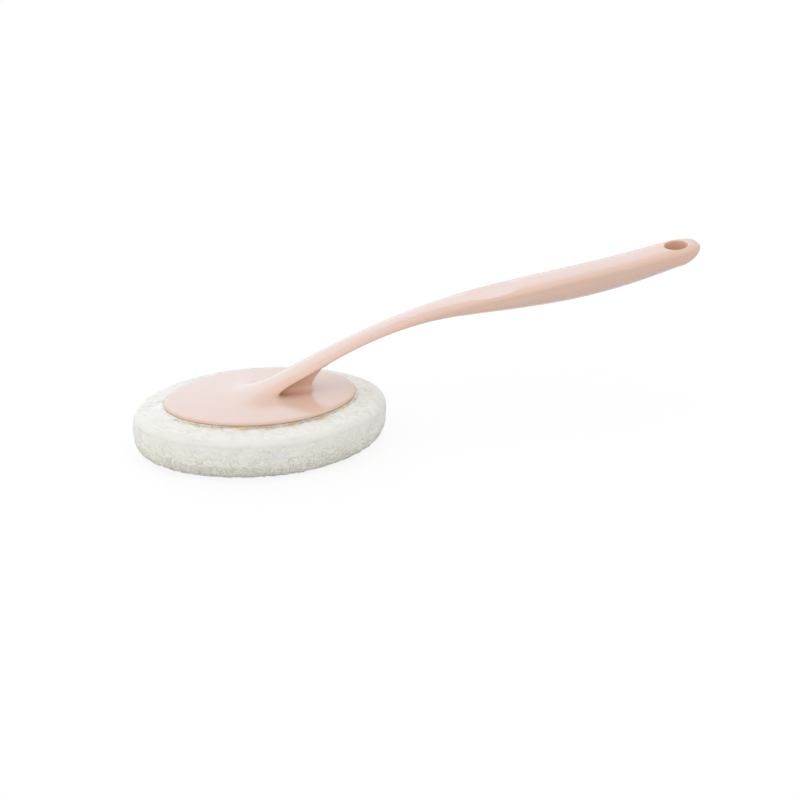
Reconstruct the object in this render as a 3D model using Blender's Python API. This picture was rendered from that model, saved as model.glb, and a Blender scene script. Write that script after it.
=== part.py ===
"""Bathtub brush: a moulded handle with an oval plate, hook tape under it, and a fibre pad.

Metres, +Z up. The origin is the middle of the pad's flat underside. +X runs along the pad's
long axis towards the end of the handle, and the part is the same on both sides of Y = 0.
"""

import math

import bmesh
import bpy
import numpy as np

# Seat between two pieces that touch
SEAT_GAP = 0.0003

# Fibre pad
PAD_LENGTH = 0.137
PAD_WIDTH = 0.100
PAD_ROUNDNESS = 1.9
SCRUB_THICK = 0.0128
BODY_THICK = 0.0064
LOOP_THICK = 0.0032
PAD_SHOULDER = 0.0028
FOOT_DRAW_IN = 0.0095
SIDE_SWELL = 1.15
PAD_POINTS = 64

# Hook tape
TAPE_INSET = 0.0022
TAPE_THICK = 0.0008
HOOK_HEIGHT = 0.0009
HOOK_PITCH = 0.0058
HOOK_STEM = 0.0010
HOOK_HEAD = 0.0019
HOOK_TIP = 0.0010
HOOK_HEAD_HEIGHT = 0.0005

# Plate of the handle
PLATE_LENGTH = 0.1040
PLATE_WIDTH = 0.0716
PLATE_ROUNDNESS = 1.9
PLATE_RIM = 0.0019
PLATE_CROWN = 0.0009

# Neck and grip
ROOT_X = 0.024
TIP_X = 0.2515
BAR_RINGS = 24
ROOT_WIDTH = 0.0172
NECK_THICK = 0.0042
NECK_WIDTH = 0.0150
GRIP_THICK = 0.0149
GRIP_WIDTH = 0.0206
GRIP_WAIST = 0.0040
GRIP_CROWN = 0.0009
NECK_SQUARE = 2.3
GRIP_SQUARE = 7.0
NOSE_SQUARE = 4.2
NOSE_WIDTH = 0.0200
NOSE_CROWN = 0.0004
BELLY_SQUARE = 2.1
NOSE_LENGTH = 0.0144
NOSE_BLUNT = 0.72
NOSE_LIFT = 0.0013
NOSE_DROP = 0.0022
NOSE_TOP_CURVE = 3.0
NOSE_RISE = 0.0096
NOSE_FOOT_CURVE = 1.6

# Root of the neck
FLARE_ON_PLATE = 0.018
FLARE_ON_NECK = 0.028
WEDGE_RADIUS = 0.0075
FLARE_RINGS = 10

# Gusset web under the neck
WEB_THICK = 0.0066
WEB_HEEL_X = 0.0277
WEB_ARC = 0.0095
WEB_END_X = 0.036
WEB_EDGE = 0.0014

# Hanging hole and thumb rest
HOLE_DIAMETER = 0.0122
HOLE_RIM = 0.0006
HOLE_SHIFT = 0.0010
THUMB_X = 0.129
THUMB_LENGTH = 0.027
THUMB_DEPTH = 0.0005

RING_POINTS = 64

# Heights that follow from the sizes above
SCRUB_TOP = SCRUB_THICK
BODY_FOOT = SCRUB_TOP + SEAT_GAP
BODY_TOP = BODY_FOOT + BODY_THICK
LOOP_FOOT = BODY_TOP + SEAT_GAP
PAD_TOP = LOOP_FOOT + LOOP_THICK
HOOK_FOOT = PAD_TOP + SEAT_GAP
TAPE_FOOT = HOOK_FOOT + HOOK_HEIGHT
TAPE_TOP = TAPE_FOOT + TAPE_THICK
SEAT = TAPE_TOP + SEAT_GAP
PLATE_TOP = SEAT + PLATE_RIM
NOSE_X = TIP_X - NOSE_LENGTH
HOLE_X = NOSE_X + HOLE_SHIFT

# Stations of the neck and grip: place along X, height of the top above the plate's seat,
# thickness, width, squareness of the top edge (2 is an ellipse), and how far the top falls
# from its middle to its edges
COLUMNS = ("place", "top", "thick", "width", "square", "crown")
STATIONS = (
    (ROOT_X, 0.0156, NECK_THICK, ROOT_WIDTH, NECK_SQUARE, 0.0),
    (0.045, 0.0244, NECK_THICK, NECK_WIDTH, NECK_SQUARE, 0.0),
    (0.070, 0.0332, 0.0043, NECK_WIDTH, NECK_SQUARE, 0.0002),
    (0.100, 0.0406, 0.0068, 0.0170, 4.0, 0.0005),
    (0.130, 0.0449, 0.0107, GRIP_WIDTH, GRIP_SQUARE, GRIP_CROWN),
    (0.175, 0.0499, GRIP_THICK, GRIP_WIDTH, GRIP_SQUARE, GRIP_CROWN),
    (0.215, 0.0549, 0.0140, 0.0203, 6.0, 0.0007),
    (NOSE_X, 0.0584, 0.0121, NOSE_WIDTH, NOSE_SQUARE, NOSE_CROWN),
)


def clear_scene():
    """Empties the file that the script runs in."""
    for item in list(bpy.data.objects):
        bpy.data.objects.remove(item, do_unlink=True)


def material(name, colour, roughness):
    """A Principled material of one colour, given as sRGB from 0 to 255."""
    made = bpy.data.materials.new(name)
    made.use_nodes = True
    linear = [((c / 255 + 0.055) / 1.055) ** 2.4 for c in colour]
    shader = made.node_tree.nodes["Principled BSDF"]
    shader.inputs["Base Color"].default_value = (*linear, 1.0)
    shader.inputs["Roughness"].default_value = roughness
    shader.inputs["Metallic"].default_value = 0.0
    made.diffuse_color = (*linear, 1.0)
    return made


def finish_object(name, bm, finish=None, parent=None):
    """Puts a bmesh into an object with its faces outward, smooth shading and its material."""
    bmesh.ops.recalc_face_normals(bm, faces=bm.faces)
    if bm.calc_volume(signed=True) < 0:
        bmesh.ops.reverse_faces(bm, faces=bm.faces)
    mesh = bpy.data.meshes.new(name)
    bm.to_mesh(mesh)
    bm.free()
    mesh.shade_smooth()
    mesh.set_sharp_from_angle(angle=math.radians(35))
    made = bpy.data.objects.new(name, mesh)
    bpy.context.scene.collection.objects.link(made)
    if finish is not None:
        mesh.materials.append(finish)
    if parent is not None:
        made.parent = parent
    return made


def skin(rings, start_cap=True, end_cap=True):
    """A closed bmesh over rings of equally many points, each end closed by one flat face."""
    bm = bmesh.new()
    loops = [[bm.verts.new(point) for point in ring] for ring in rings]
    count = len(loops[0])
    for low, high in zip(loops, loops[1:]):
        for i in range(count):
            j = (i + 1) % count
            bm.faces.new((low[i], low[j], high[j], high[i]))
    if start_cap:
        bm.faces.new(loops[0])
    if end_cap:
        bm.faces.new(loops[-1])
    return bm


def cutter(name, bm):
    """A solid that only cuts: hidden in renders and drawn as wire."""
    made = finish_object(name, bm)
    made.hide_render = True
    made.display_type = "WIRE"
    return made


def boolean(target, tool, operation):
    """Adds a live Boolean of the tool to the target."""
    step = target.modifiers.new(tool.name, "BOOLEAN")
    step.operation = operation
    step.solver = "EXACT"
    step.object = tool


def superellipse(half_x, half_y, power, angles):
    """Points of |x / half_x| ** power + |y / half_y| ** power = 1 at the given angles."""
    c, s = np.cos(angles), np.sin(angles)
    x = half_x * np.sign(c) * np.abs(c) ** (2 / power)
    y = half_y * np.sign(s) * np.abs(s) ** (2 / power)
    return x, y


def spline(xs, ys):
    """The natural cubic spline through the points, as a function of an array of x."""
    xs, ys = np.asarray(xs, float), np.asarray(ys, float)
    n, h = len(xs), np.diff(xs)
    a, b = np.eye(n), np.zeros(n)
    for i in range(1, n - 1):
        a[i, i - 1 : i + 2] = h[i - 1], 2 * (h[i - 1] + h[i]), h[i]
        b[i] = 6 * ((ys[i + 1] - ys[i]) / h[i] - (ys[i] - ys[i - 1]) / h[i - 1])
    bend = np.linalg.solve(a, b)

    def value(x):
        x = np.asarray(x, float)
        i = np.clip(np.searchsorted(xs, x) - 1, 0, n - 2)
        t, u = x - xs[i], xs[i + 1] - x
        return (
            (bend[i] * u**3 + bend[i + 1] * t**3) / (6 * h[i])
            + (ys[i] / h[i] - bend[i] * h[i] / 6) * u
            + (ys[i + 1] / h[i] - bend[i + 1] * h[i] / 6) * t
        )

    return value


def along_bar(column):
    """One column of the stations as a smooth function of the place along X."""
    table = dict(zip(COLUMNS, zip(*STATIONS)))
    return spline(table["place"], table[column])


def pad_outline(inset, height):
    """One ring of the pad's outline, drawn in by inset, at a height."""
    angles = np.linspace(0, 2 * math.pi, PAD_POINTS, endpoint=False)
    half_x, half_y = PAD_LENGTH / 2 - inset, PAD_WIDTH / 2 - inset
    x, y = superellipse(half_x, half_y, PAD_ROUNDNESS, angles)
    return np.column_stack((x, y, np.full(PAD_POINTS, height)))


def scrub_face():
    """Coarse lower layer: a flat sole whose side swells out to the full outline."""
    turns = np.linspace(0, math.pi / 2, 6)
    rings = [
        pad_outline(
            FOOT_DRAW_IN * (1 - math.sin(turn)) ** SIDE_SWELL, SCRUB_TOP * (1 - math.cos(turn))
        )
        for turn in turns
    ]
    finish = material("coarse_fibre", (226, 226, 208), 0.95)
    return finish_object("pad_scrub_face", skin(rings), finish)


def pad_body():
    """Smooth middle layer of the pad, at the full outline."""
    rings = [pad_outline(0, BODY_FOOT), pad_outline(0, BODY_TOP)]
    finish = material("fine_fibre", (240, 240, 234), 0.9)
    return finish_object("pad_body", skin(rings), finish)


def loop_face():
    """Brushed top layer of the pad, with its rounded shoulder."""
    turns = np.linspace(0, math.pi / 2, 5)
    rings = [pad_outline(0, LOOP_FOOT)]
    for turn in turns:
        inset = PAD_SHOULDER * (1 - math.cos(turn))
        rings.append(pad_outline(inset, PAD_TOP - PAD_SHOULDER * (1 - math.sin(turn))))
    finish = material("brushed_fibre", (243, 243, 240), 0.9)
    return finish_object("pad_loop_face", skin(rings), finish)


def hook(bm, x, y):
    """One mushroom hook: a square stem that ends in a wider pyramid head."""
    neck = HOOK_FOOT + HOOK_HEAD_HEIGHT
    levels = (
        (TAPE_FOOT + TAPE_THICK / 2, HOOK_STEM),
        (neck, HOOK_STEM),
        (neck, HOOK_HEAD),
        (HOOK_FOOT, HOOK_TIP),
    )
    corners = ((-0.5, -0.5), (0.5, -0.5), (0.5, 0.5), (-0.5, 0.5))
    loops = [[bm.verts.new((x + size * u, y + size * v, z)) for u, v in corners] for z, size in levels]
    for low, high in zip(loops, loops[1:]):
        for i in range(4):
            j = (i + 1) % 4
            bm.faces.new((low[i], low[j], high[j], high[i]))
    bm.faces.new(loops[0])
    bm.faces.new(loops[-1])


def hook_tape(parent):
    """Oval sheet of hook tape, a little smaller than the plate, with staggered rows of hooks."""
    half_x, half_y = PLATE_LENGTH / 2 - TAPE_INSET, PLATE_WIDTH / 2 - TAPE_INSET
    angles = np.linspace(0, 2 * math.pi, RING_POINTS, endpoint=False)
    x, y = superellipse(half_x, half_y, PLATE_ROUNDNESS, angles)
    rings = [np.column_stack((x, y, np.full(RING_POINTS, z))) for z in (TAPE_FOOT, TAPE_TOP)]
    finish = material("hook_nylon", (225, 222, 214), 0.5)
    tape = finish_object("hook_tape", skin(rings), finish, parent)
    hooks = bmesh.new()
    row_pitch = HOOK_PITCH * math.sqrt(3) / 2
    rows = int(half_y // row_pitch)
    columns = int(half_x // HOOK_PITCH) + 1
    for row in range(-rows, rows + 1):
        for column in range(-columns, columns + 1):
            hook_x = (column + (row % 2) / 2) * HOOK_PITCH
            hook_y = row * row_pitch
            reach = math.hypot(hook_x / (half_x - HOOK_HEAD), hook_y / (half_y - HOOK_HEAD))
            if reach < 1:
                hook(hooks, hook_x, hook_y)
    boolean(tape, cutter("hook_field", hooks), "UNION")
    return tape


def plate_height(x, y):
    """Top of the plate: its rim, and a low crown towards the middle."""
    along, across = np.abs(x) / (PLATE_LENGTH / 2), np.abs(y) / (PLATE_WIDTH / 2)
    reach = along**PLATE_ROUNDNESS + across**PLATE_ROUNDNESS
    return PLATE_TOP + PLATE_CROWN * np.maximum(1 - reach, 0)


def handle_section(x, top, thick, width, square, crown):
    """One ring across the neck or grip: a gently crowned top with firm edges, a round belly.

    The angle starts at the top and goes round. The upper half is a superellipse of the
    given squareness, lowered by the crown times the cube of the way to its side. Both
    halves meet at the waist.
    """
    turn = np.linspace(0, 2 * math.pi, RING_POINTS, endpoint=False)
    c, s = np.cos(turn), np.sin(turn)
    waist = min(GRIP_WAIST, (thick - crown) / 2)
    power = np.where(c > 0, square, BELLY_SQUARE)
    reach = (np.abs(c) ** power + np.abs(s) ** power) ** (-1 / power)
    upper = waist * (reach * c - 1) - crown * np.abs(reach * s) ** 3
    lower = (thick - waist - crown) * reach * c - waist - crown
    z = top + np.where(c > 0, upper, lower)
    return np.column_stack((np.full(RING_POINTS, x), width / 2 * reach * s, z))


def neck_and_grip():
    """Rings of the neck and grip from the root to the nose, through the stations."""
    top, thick, width, square, crown = (along_bar(column) for column in COLUMNS[1:])
    rings = []
    for x in np.linspace(ROOT_X, NOSE_X, BAR_RINGS):
        rings.append(handle_section(x, SEAT + top(x), thick(x), width(x), square(x), crown(x)))
    end_top = SEAT + float(top(NOSE_X))
    end_foot = end_top - float(thick(NOSE_X))
    for turn in np.radians((18, 35, 49, 61, 71, 79, 85)):
        reach, shrink = math.sin(turn), math.cos(turn)
        fall = (NOSE_LIFT + NOSE_DROP) * (1 - shrink) ** NOSE_TOP_CURVE
        peak = end_top + NOSE_LIFT * reach - fall
        foot = end_foot + NOSE_RISE * reach**NOSE_FOOT_CURVE
        width_here = NOSE_WIDTH * shrink**NOSE_BLUNT
        x = NOSE_X + NOSE_LENGTH * reach
        bow = NOSE_CROWN * shrink
        rings.append(handle_section(x, peak, peak - foot, width_here, NOSE_SQUARE, bow))
    rings[-1][:, 0] = TIP_X
    return rings


def plate_rings(neck_ring, slope):
    """Rings from the plate's flat underside, over its rim and its top, and up into the neck.

    Each line of the neck is carried on down to the plate. A Bezier curve of degree 5 leads
    from the plate into it, long at the front and sides of the root and short behind. Three
    of its points lie on each of the two legs, so that it leaves both without a step in bend.
    """
    turn = np.linspace(0, 2 * math.pi, RING_POINTS, endpoint=False)
    radius = PLATE_RIM / 2

    def rim(inset, z):
        half_x, half_y = PLATE_LENGTH / 2 - inset, PLATE_WIDTH / 2 - inset
        x, y = superellipse(half_x, half_y, PLATE_ROUNDNESS, turn)
        return np.column_stack((-x, y, np.full(RING_POINTS, z)))

    rings = []
    for lean in np.radians((-90, -45, 0, 45, 90)):
        inset = radius * (1 - math.cos(lean))
        rings.append(rim(inset, SEAT + radius + radius * math.sin(lean)))

    down = np.array((-math.cos(slope), 0.0, -math.sin(slope)))
    foot = neck_ring.copy()
    for _ in range(4):
        drop = foot[:, 2] - plate_height(foot[:, 0], foot[:, 1])
        foot += down * (drop / math.sin(slope))[:, None]
    forward = np.sqrt((1 + np.cos(turn)) / 2)[:, None]
    outward = rings[-1] - foot
    outward[:, 2] = 0
    outward /= np.linalg.norm(outward, axis=1)[:, None]
    on_plate = foot + outward * (WEDGE_RADIUS + (FLARE_ON_PLATE - WEDGE_RADIUS) * forward)
    on_neck = foot - down * (WEDGE_RADIUS + (FLARE_ON_NECK - WEDGE_RADIUS) * forward)
    for share in np.linspace(0, 1, 4)[1:]:
        ring = rings[4] + (on_plate - rings[4]) * share
        ring[:, 2] = plate_height(ring[:, 0], ring[:, 1])
        rings.append(ring)
    legs = [rings[-1] + (foot - rings[-1]) * share for share in (0, 0.4, 0.8)]
    legs += [on_neck + (foot - on_neck) * share for share in (0.8, 0.4, 0)]
    for share in np.linspace(0, 1, FLARE_RINGS + 1)[1:]:
        weights = [math.comb(5, k) * share**k * (1 - share) ** (5 - k) for k in range(6)]
        rings.append(sum(weight * leg for weight, leg in zip(weights, legs)))
    return rings


def gusset_web(slope):
    """Upright web under the neck, with rounded corners along its rear edge.

    The rear edge rises from the heel in an arc, and leaves the arc on the straight line that
    just touches it and runs out on the underside of the neck. The front is buried: it follows
    the middle of the neck down into the plate.
    """
    top, thick = along_bar("top"), along_bar("thick")
    inside_plate = SEAT + PLATE_RIM / 2
    root_middle = SEAT + top(ROOT_X) - thick(ROOT_X) / 2
    front_x = ROOT_X - (root_middle - inside_plate) / math.tan(slope)
    centre = np.array((WEB_HEEL_X + WEB_ARC, PLATE_TOP + WEB_EDGE))
    end = np.array((WEB_END_X, SEAT + top(WEB_END_X) - thick(WEB_END_X)))
    rings = []
    for side, turn in ((1, 0), (1, 45), (1, 90), (-1, 90), (-1, 45), (-1, 0)):
        corner = math.radians(turn)
        y = side * (WEB_THICK / 2 - WEB_EDGE * (1 - math.cos(corner)))
        radius = WEB_ARC + WEB_EDGE * (1 - math.sin(corner))
        away = end - centre
        leave = math.atan2(away[1], away[0]) + math.acos(radius / np.hypot(*away))
        outline = [(front_x, inside_plate), (centre[0] - radius, inside_plate)]
        for angle in np.linspace(math.pi, leave, 7):
            outline.append(centre + radius * np.array((math.cos(angle), math.sin(angle))))
        outline.append(end)
        outline.append(end + np.array((0.0, NECK_THICK / 2)))
        outline.append((ROOT_X, root_middle))
        rings.append([(x, y, z) for x, z in outline])
    return cutter("gusset_web", skin(rings))


def hanging_hole():
    """Cutter of the hanging hole, its rounded rim tilted with the top of the grip's end."""
    tops = SEAT + along_bar("top")(np.array((NOSE_X, HOLE_X)))
    tilt = (tops[1] - tops[0]) / HOLE_SHIFT
    top = float(tops[1]) - NOSE_CROWN / 3
    foot = top - float(along_bar("thick")(HOLE_X))
    radius = HOLE_DIAMETER / 2
    levels = [(foot - HOLE_DIAMETER, radius)]
    for turn in np.radians((0, 30, 60)):
        levels.append((top - HOLE_RIM * (1 - math.sin(turn)), radius + HOLE_RIM * (1 - math.cos(turn))))
    levels.append((top + HOLE_RIM, radius + 2 * HOLE_RIM))
    angles = np.linspace(0, 2 * math.pi, 32, endpoint=False)
    rings = []
    for z, size in levels:
        x, y = size * np.cos(angles), size * np.sin(angles)
        rings.append(np.column_stack((HOLE_X + x, y, z + tilt * x)))
    return cutter("hanging_hole", skin(rings))


def thumb_rest():
    """Cutter of the thumb rest: a wide roller laid across the crowned top of the grip.

    It dips below the top along an arc, and leaves an oval where it meets the crown.
    """
    top = along_bar("top")
    near, far = THUMB_X - THUMB_LENGTH / 2, THUMB_X + THUMB_LENGTH / 2
    slope = math.atan((top(far) - top(near)) / THUMB_LENGTH)
    radius = THUMB_LENGTH**2 / (8 * THUMB_DEPTH)
    middle = radius - THUMB_DEPTH
    turns = np.linspace(-1, 1, 17) * 1.3 * math.asin(THUMB_LENGTH / 2 / radius)
    outline = [(radius * math.sin(turn), middle - radius * math.cos(turn)) for turn in turns]
    outline.append((outline[-1][0], GRIP_WAIST))
    outline.append((outline[0][0], GRIP_WAIST))
    rings = []
    for y in (-GRIP_WIDTH, GRIP_WIDTH):
        ring = []
        for u, w in outline:
            x = THUMB_X + u * math.cos(slope) - w * math.sin(slope)
            z = SEAT + float(top(THUMB_X)) + u * math.sin(slope) + w * math.cos(slope)
            ring.append((x, y, z))
        rings.append(ring)
    return cutter("thumb_rest", skin(rings))


def handle(parent):
    """The whole moulding: one skin from the plate's underside over its rim to the nose."""
    bar = neck_and_grip()
    ahead, behind = bar[1][0], bar[0][0]
    slope = math.atan((ahead[2] - behind[2]) / (ahead[0] - behind[0]))
    rings = plate_rings(bar[0], slope) + bar
    finish = material("pink_plastic", (238, 212, 201), 0.42)
    made = finish_object("handle", skin(rings), finish, parent)
    boolean(made, gusset_web(slope), "UNION")
    boolean(made, hanging_hole(), "DIFFERENCE")
    boolean(made, thumb_rest(), "DIFFERENCE")
    return made


def main():
    clear_scene()
    scrub_face()
    pad_body()
    loop_face()
    pull = bpy.data.objects.new("pull_off_axis", None)
    pull.location = (0, 0, PAD_TOP)
    bpy.context.scene.collection.objects.link(pull)
    for made in (handle(pull), hook_tape(pull)):
        made.location = (0, 0, -PAD_TOP)


main()
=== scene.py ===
"""Bathtub brush: a pale pink moulded handle on an oval fibre pad, in a plain white studio.

Metres, +Z up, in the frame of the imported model: the origin is the middle of the pad's sole,
and +X runs towards the end of the handle.
"""

import math

import bpy
import numpy as np
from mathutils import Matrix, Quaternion, Vector


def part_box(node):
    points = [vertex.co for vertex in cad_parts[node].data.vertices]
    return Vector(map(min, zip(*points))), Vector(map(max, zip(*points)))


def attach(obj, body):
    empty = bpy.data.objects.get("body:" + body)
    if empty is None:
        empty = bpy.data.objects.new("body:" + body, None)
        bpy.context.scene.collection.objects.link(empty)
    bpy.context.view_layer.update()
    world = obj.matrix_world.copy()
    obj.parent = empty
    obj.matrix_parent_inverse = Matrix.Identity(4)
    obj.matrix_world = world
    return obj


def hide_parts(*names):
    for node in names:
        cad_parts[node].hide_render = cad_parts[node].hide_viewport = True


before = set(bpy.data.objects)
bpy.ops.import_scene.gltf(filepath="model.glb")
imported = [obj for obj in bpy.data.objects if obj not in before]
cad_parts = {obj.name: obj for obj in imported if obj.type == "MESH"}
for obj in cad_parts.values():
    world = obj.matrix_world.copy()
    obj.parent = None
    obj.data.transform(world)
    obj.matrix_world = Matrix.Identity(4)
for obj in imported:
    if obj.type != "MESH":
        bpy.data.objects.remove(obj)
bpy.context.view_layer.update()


# Coarse scouring layer: the lowest part of the pad, an open web of stiff curled nylon fibres,
# bonded where they cross. Its sole is flat, and its side swells out to the pad's full oval.

scrub_high = np.array(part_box("pad_scrub_face")[1])
PAD_HALF = scrub_high[:2]
PAD_ROUNDNESS = 1.9
FOOT_DRAW_IN = 0.0095
SIDE_SWELL = 1.15
TUCK = 0.006
MIDDLE_FACE = 0.001
SOLE_RINGS = 59
SCRUB_GRAIN = 0.00055
COARSE_FADE = 0.009
GROUND_GAP = 0.00005


def oval_point(angle, inset):
    """Point of the pad's outline |x / a| ** n + |y / b| ** n = 1 in a direction.

    With r = (|cos| ** n + |sin| ** n) ** (-1 / n) it is (a - inset) r cos, (b - inset) r sin.
    """
    c, s = np.cos(angle), np.sin(angle)
    reach = (np.abs(c) ** PAD_ROUNDNESS + np.abs(s) ** PAD_ROUNDNESS) ** (-1 / PAD_ROUNDNESS)
    return (PAD_HALF[0] - inset) * reach * c, (PAD_HALF[1] - inset) * reach * s


def even_angles(count):
    """Angles that cut the outline into equal lengths, read off a running sum of chords."""
    fine = np.linspace(0, 2 * math.pi, 4097)
    x, y = oval_point(fine, 0)
    run = np.concatenate(([0], np.cumsum(np.hypot(np.diff(x), np.diff(y)))))
    return np.interp(np.linspace(0, run[-1], count, endpoint=False), run, fine), run[-1]


AROUND = 720
around_angles, OUTLINE_LENGTH = even_angles(AROUND)


def oval_rings(insets, heights):
    """(rings, around, 3) grid: the outline at each inset and height."""
    x, y = oval_point(around_angles[None, :], np.asarray(insets)[:, None])
    z = np.broadcast_to(np.asarray(heights)[:, None], x.shape)
    return np.stack((x, y, z), axis=-1)


def grid_normals(grid):
    """Unit normals of a closed grid: the cross product of its two central differences."""
    around = np.roll(grid, -1, axis=1) - np.roll(grid, 1, axis=1)
    along = np.gradient(grid, axis=0)
    normal = np.cross(around, along)
    return normal / np.maximum(np.linalg.norm(normal, axis=-1, keepdims=True), 1e-12)


WAVES = 48


def lumps(points, size, seed, stretch=(1, 1, 1)):
    """Smooth noise of about unit height: a sum of plane waves in random directions.

    Each wave is sin(k . p + phase), and its length is near size. Stretch makes the lumps
    longer along an axis.
    """
    rng = np.random.default_rng(seed)
    direction = rng.normal(size=(WAVES, 3))
    direction /= np.linalg.norm(direction, axis=1, keepdims=True)
    wave = 2 * math.pi / size * rng.uniform(0.6, 1.5, (WAVES, 1)) * direction / np.array(stretch)
    phase = rng.uniform(0, 2 * math.pi, WAVES)
    return np.sin(points.reshape(-1, 3) @ wave.T + phase).sum(axis=1).reshape(points.shape[:-1]) / 5


def signed_volume(points, faces):
    """Volume inside the faces: a sixth of a . (b x c) over their fans of triangles."""
    total = 0.0
    for k in range(1, faces.shape[1] - 1):
        a, b, c = points[faces[:, 0]], points[faces[:, k]], points[faces[:, k + 1]]
        total += np.einsum("ij,ij->", a, np.cross(b, c)) / 6
    return total


def make_piece(name, points, *groups):
    """Object over points and arrays of faces, turned so that its closed surface faces out."""
    points = np.asarray(points, float).reshape(-1, 3)
    if sum(signed_volume(points, faces) for faces in groups) < 0:
        groups = [faces[:, ::-1] for faces in groups]
    corners = np.concatenate([faces.ravel() for faces in groups]).astype(np.int32)
    sizes = np.concatenate([np.full(len(faces), faces.shape[1]) for faces in groups])
    mesh = bpy.data.meshes.new(name)
    mesh.vertices.add(len(points))
    mesh.vertices.foreach_set("co", points.astype(np.float32).ravel())
    mesh.loops.add(len(corners))
    mesh.loops.foreach_set("vertex_index", corners)
    mesh.polygons.add(len(sizes))
    mesh.polygons.foreach_set("loop_start", (np.cumsum(sizes) - sizes).astype(np.int32))
    mesh.update(calc_edges=True)
    mesh.shade_smooth()
    made = bpy.data.objects.new(name, mesh)
    bpy.context.scene.collection.objects.link(made)
    return made


def skin_faces(rings, around):
    """Quads between neighbouring rings, closed around, and a flat face on each end."""
    ring = np.arange(rings - 1)[:, None] * around
    here = np.arange(around)[None, :]
    after = (here + 1) % around
    quads = np.stack((ring + here, ring + after, ring + around + after, ring + around + here), -1)
    caps = np.stack((np.arange(around)[::-1], np.arange(around) + (rings - 1) * around))
    return quads.reshape(-1, 4), caps


def tone_of(made, values):
    """Keeps a number for each point, which the piece's material reads as its tone."""
    layer = made.data.attributes.new("tone", "FLOAT", "POINT")
    layer.data.foreach_set("value", np.asarray(values, np.float32).ravel())


def read_grid(grid, place_around, place_along):
    """Value of a grid between its points, closed around and held at its ends along."""
    rings, around = grid.shape[:2]
    u = np.mod(place_around, around)
    v = np.clip(place_along, 0, rings - 1.001)
    i, j = u.astype(int), v.astype(int)
    fu, fv = (u - i)[..., None], (v - j)[..., None]
    i, after = i % around, (i + 1) % around
    low = grid[j, i] * (1 - fu) + grid[j, after] * fu
    high = grid[j + 1, i] * (1 - fu) + grid[j + 1, after] * fu
    return low * (1 - fv) + high * fv


def wander(rng, count, steps, length, curl):
    """(count, steps, 2) flat paths of a length, each with its own steady curl and a jitter.

    The heading is a running sum of small turns, and the path a running sum of unit steps.
    """
    bend = rng.normal(0, curl, (count, 1)) + rng.normal(0, 0.5 * curl, (count, steps))
    heading = rng.uniform(0, 2 * math.pi, (count, 1)) + np.cumsum(bend, axis=1)
    step = np.asarray(length).reshape(-1, 1, 1) / (steps - 1)
    path = np.cumsum(np.stack((np.cos(heading), np.sin(heading)), -1) * step, axis=1)
    return path - path.mean(axis=1, keepdims=True)


def strand_piece(name, lines, outward, radius):
    """Three-sided tubes round (strands, points, 3) centre lines, narrow at both ends.

    Across each line the corners stand at 0, 120 and 240 degrees between the outward
    direction and the direction square to it and to the line.
    """
    count, steps, _ = lines.shape
    along = np.gradient(lines, axis=1)
    across = np.cross(along, outward)
    across /= np.maximum(np.linalg.norm(across, axis=-1, keepdims=True), 1e-12)
    upward = np.cross(across, along)
    upward /= np.maximum(np.linalg.norm(upward, axis=-1, keepdims=True), 1e-12)
    turn = np.arange(3) * 2 * math.pi / 3
    taper = np.minimum(1, 0.25 + 3 * np.sin(np.linspace(0, math.pi, steps)))
    size = (np.asarray(radius).reshape(-1, 1) * taper)[:, :, None, None]
    spoke = np.cos(turn)[:, None] * upward[:, :, None] + np.sin(turn)[:, None] * across[:, :, None]
    points = lines[:, :, None] + size * spoke
    base = np.arange(count)[:, None, None] * steps * 3 + np.arange(steps - 1)[None, :, None] * 3
    k, after = np.arange(3), (np.arange(3) + 1) % 3
    quads = np.stack((base + k, base + after, base + 3 + after, base + 3 + k), -1).reshape(-1, 4)
    first = np.arange(count)[:, None] * steps * 3
    ends = np.concatenate((first + k[::-1], first + (steps - 1) * 3 + k))
    return make_piece(name, points, quads, ends)


def mottle_group():
    """Node group for a fine mottle: a colour between deep and pale, and the noise behind it.

    The colour is deep where tone + share * noise is at or under low, and pale at high.
    """
    group = bpy.data.node_groups.new("mottle", "ShaderNodeTree")
    face = group.interface
    face.new_socket("Place", in_out="INPUT", socket_type="NodeSocketVector")
    for name, usual in (
        ("Scale", 100.0), ("Detail", 2.0), ("Share", 1.0), ("Tone", 0.0), ("Low", 0.0), ("High", 1.0)
    ):
        face.new_socket(name, in_out="INPUT", socket_type="NodeSocketFloat").default_value = usual
    face.new_socket("Deep", in_out="INPUT", socket_type="NodeSocketColor")
    face.new_socket("Pale", in_out="INPUT", socket_type="NodeSocketColor")
    face.new_socket("Colour", in_out="OUTPUT", socket_type="NodeSocketColor")
    face.new_socket("Noise", in_out="OUTPUT", socket_type="NodeSocketFloat")
    nodes, links = group.nodes, group.links
    given = nodes.new("NodeGroupInput").outputs
    ready = nodes.new("NodeGroupOutput").inputs
    noise = nodes.new("ShaderNodeTexNoise")
    links.new(given["Place"], noise.inputs["Vector"])
    links.new(given["Scale"], noise.inputs["Scale"])
    links.new(given["Detail"], noise.inputs["Detail"])
    total = nodes.new("ShaderNodeMath")
    total.operation = "MULTIPLY_ADD"
    links.new(noise.outputs["Fac"], total.inputs[0])
    links.new(given["Share"], total.inputs[1])
    links.new(given["Tone"], total.inputs[2])
    level = nodes.new("ShaderNodeMapRange")
    links.new(total.outputs[0], level.inputs["Value"])
    links.new(given["Low"], level.inputs["From Min"])
    links.new(given["High"], level.inputs["From Max"])
    blend = nodes.new("ShaderNodeMix")
    blend.data_type = "RGBA"
    links.new(level.outputs["Result"], blend.inputs["Factor"])
    links.new(given["Deep"], blend.inputs["A"])
    links.new(given["Pale"], blend.inputs["B"])
    links.new(blend.outputs["Result"], ready["Colour"])
    links.new(noise.outputs["Fac"], ready["Noise"])
    return group


mottle = mottle_group()


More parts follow.
